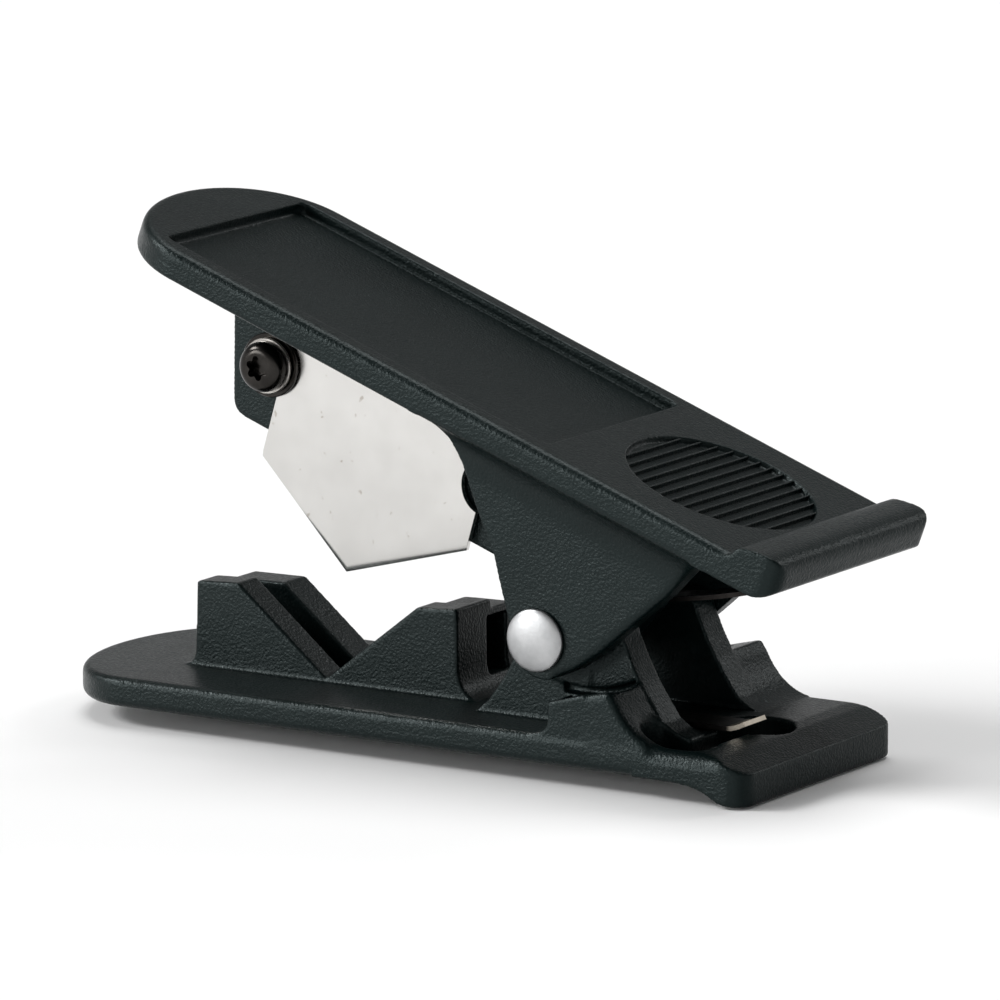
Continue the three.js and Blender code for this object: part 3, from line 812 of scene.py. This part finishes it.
def plastic():
    """Near-black moulded plastic with a fine leather grain, with painted shade: faces turned to the rear
    reflect less.
    """
    material, tree, shader, place = new_material("black_moulded_plastic")
    broad = noise(tree, place, 90, 4.0)
    fine = noise(tree, place, 2600, 2.0)
    grain = noise(tree, place, 3200, 2.0, 0.55)
    tone = mix_colour(tree, remap(tree, broad, 0, 1), (0.0010, 0.0036, 0.0036), (0.0022, 0.0056, 0.0056))
    tree.links.new(tone, shader.inputs["Base Color"])
    tree.links.new(remap(tree, fine, 0.28, 0.40), shader.inputs["Roughness"])
    facing = split_axes(tree, tree.nodes.new("ShaderNodeTexCoord").outputs["Normal"])
    # Painted shade: faces turned towards +X get a lower reflection level, so that side reads darker.
    rear_face_painted_shade = remap(tree, facing["X"], 0.23, 0.12, 0.45, 0.75)
    tree.links.new(rear_face_painted_shade, shader.inputs["Specular IOR Level"])
    shader.inputs["Specular Tint"].default_value = (0.84, 1.0, 1.0, 1.0)
    first = bump(tree, shader, grain, 0.65, 0.00013)
    bump(tree, shader, broad, 0.3, 0.0006, first)
    return material


def steel(name, dark, light, rough_low, rough_high, scale=400, scratch=0.05):
    """Metal that varies softly between two tones."""
    material, tree, shader, place = new_material(name)
    shader.inputs["Metallic"].default_value = 1.0
    cloud = noise(tree, place, scale, 4.0)
    tree.links.new(mix_colour(tree, remap(tree, cloud, 0, 1), dark, light), shader.inputs["Base Color"])
    tree.links.new(remap(tree, noise(tree, place, scale * 2.3, 2.0), rough_low, rough_high),
                   shader.inputs["Roughness"])
    bump(tree, shader, noise(tree, place, scale * 5, 2.0), scratch, 0.00005)
    return material


def blade_steel():
    """Ground and polished blade steel with a few dull specks."""
    material, tree, shader, place = new_material("blade_steel_look")
    shader.inputs["Metallic"].default_value = 1.0
    cloud = noise(tree, place, 300, 4.0)
    clean = mix_colour(tree, remap(tree, cloud, 0, 1), (0.61, 0.60, 0.58), (0.66, 0.65, 0.63))
    specks = remap(tree, noise(tree, place, 900, 2.0), 0, 0.55, 0.70, 0.76)
    tone = mix_colour(tree, specks, clean, (0.30, 0.25, 0.20))
    tree.links.new(tone, shader.inputs["Base Color"])
    tree.links.new(remap(tree, noise(tree, place, 700, 2.0), 0.19, 0.22), shader.inputs["Roughness"])
    return material


def spring_steel():
    """Strip steel with painted light: a near-black tone as painted shade all along, and a painted highlight
    on the end where the strip passes over the pad.
    """
    material, tree, shader, place = new_material("spring_look")
    shader.inputs["Metallic"].default_value = 1.0
    cloud = noise(tree, place, 400, 4.0)
    # Painted shade: the strip's steel gets this near-black tone for the shade it lies in.
    dark = mix_colour(tree, remap(tree, cloud, 0, 1), (0.018, 0.016, 0.015), (0.035, 0.032, 0.03))
    axes = split_axes(tree, place)
    # Painted highlight: the last part of the lower leg, past x 34.6 mm and below z 9 mm, gets a pale tan
    # tone where light catches it.
    lower = remap(tree, axes["Z"], 1, 0, 0.008, 0.010)
    behind = remap(tree, axes["X"], 0, 1, 0.0346, 0.0350)
    painted_highlight_mask = tree.nodes.new("ShaderNodeMath")
    painted_highlight_mask.operation = "MULTIPLY"
    tree.links.new(lower, painted_highlight_mask.inputs[0])
    tree.links.new(behind, painted_highlight_mask.inputs[1])
    tone = mix_colour(tree, painted_highlight_mask.outputs["Value"], dark, (0.62, 0.56, 0.47))
    tree.links.new(tone, shader.inputs["Base Color"])
    tree.links.new(remap(tree, noise(tree, place, 900, 2.0), 0.28, 0.42), shader.inputs["Roughness"])
    bump(tree, shader, noise(tree, place, 2000, 2.0), 0.05, 0.00005)
    return material


# ---- Stage ----

def build_floor():
    size, drop = 3.0, 0.0002
    corners = [(-size, -size, 0), (size, -size, 0), (size, size, 0), (-size, size, 0)]
    mesh = bpy.data.meshes.new("floor")
    mesh.from_pydata(corners, [], [(0, 1, 2, 3)])
    floor = new_object("floor", mesh)
    floor.location.z = -drop
    material, tree, shader, place = new_material("pale_floor")
    cloud = remap(tree, noise(tree, place, 3, 2.0), 0, 1)
    tone = mix_colour(tree, cloud, (0.90, 0.90, 0.90), (0.91, 0.91, 0.91))
    tree.links.new(tone, shader.inputs["Base Color"])
    shader.inputs["Roughness"].default_value = 0.9
    mesh.materials.append(material)


def build_world():
    """White surroundings, brightest near the horizon."""
    world = bpy.data.worlds.new("studio")
    world.use_nodes = True
    tree = world.node_tree
    background = tree.nodes["Background"]
    background.inputs["Color"].default_value = (1, 1, 1, 1)
    height = split_axes(tree, tree.nodes.new("ShaderNodeTexCoord").outputs["Generated"])["Z"]
    glow = remap(tree, height, 0.8, 0.2, 0.10, 0.34)
    tree.links.new(glow, background.inputs["Strength"])
    bpy.context.scene.world = world
    bpy.context.scene.view_settings.view_transform = "Standard"


def soft_sun(name, direction, strength, spread):
    """Distant light that travels in a direction; spread is its angle in degrees."""
    light = bpy.data.lights.new(name, "SUN")
    light.energy = strength
    light.angle = math.radians(spread)
    obj = bpy.data.objects.new(name, light)
    bpy.context.scene.collection.objects.link(obj)
    obj.rotation_euler = Vector(direction).to_track_quat("-Z", "Y").to_euler()
    return obj


def build_lights():
    soft_sun("key_light", (0.72, 0.42, -0.60), 1.9, 20)
    soft_sun("top_light", (0.1, -0.25, -1.0), 1.5, 40)
    soft_sun("front_light", (0.58, 0.80, -0.20), 1.1, 20)
    soft_sun("rim_light", (-0.33, -0.83, -0.48), 0.35, 14)


def build_camera():
    azimuth, elevation, roll = (math.radians(angle) for angle in (32.21, 11.02, 0.07))
    place = Vector((554.8, -876.2, 228.2)) * MM
    level = math.cos(elevation)
    right = Vector((math.cos(azimuth), math.sin(azimuth), 0))
    forward = Vector((-math.sin(azimuth) * level, math.cos(azimuth) * level, -math.sin(elevation)))
    up = right.cross(forward)
    turn = Matrix((right, up, -forward)).transposed()
    camera = bpy.data.cameras.new("camera")
    camera.lens = 350.74
    camera.sensor_width = 36
    camera.clip_end = 20
    obj = bpy.data.objects.new("camera", camera)
    bpy.context.scene.collection.objects.link(obj)
    obj.matrix_world = Matrix.Translation(place) @ (Matrix.Rotation(roll, 3, forward) @ turn).to_4x4()
    bpy.context.scene.camera = obj


plastic_look = plastic()
blade_look = blade_steel()
black_look = steel("black_oxide_look", (0.018, 0.017, 0.016), (0.042, 0.039, 0.036), 0.16, 0.26)
washer_look = steel("washer_look", (0.35, 0.33, 0.31), (0.5, 0.48, 0.45), 0.22, 0.35)
rivet_look = steel("rivet_look", (0.34, 0.345, 0.35), (0.47, 0.475, 0.48), 0.34, 0.48, 420, 0.2)
spring_look = spring_steel()

build_base(plastic_look)
build_lever(plastic_look)
build_ribs(plastic_look)
build_blade(blade_look)
build_screw(black_look)
build_washers(washer_look, black_look)
build_nut(black_look)
build_rivet(rivet_look)
build_spring(spring_look)
build_floor()
build_world()
build_lights()
build_camera()
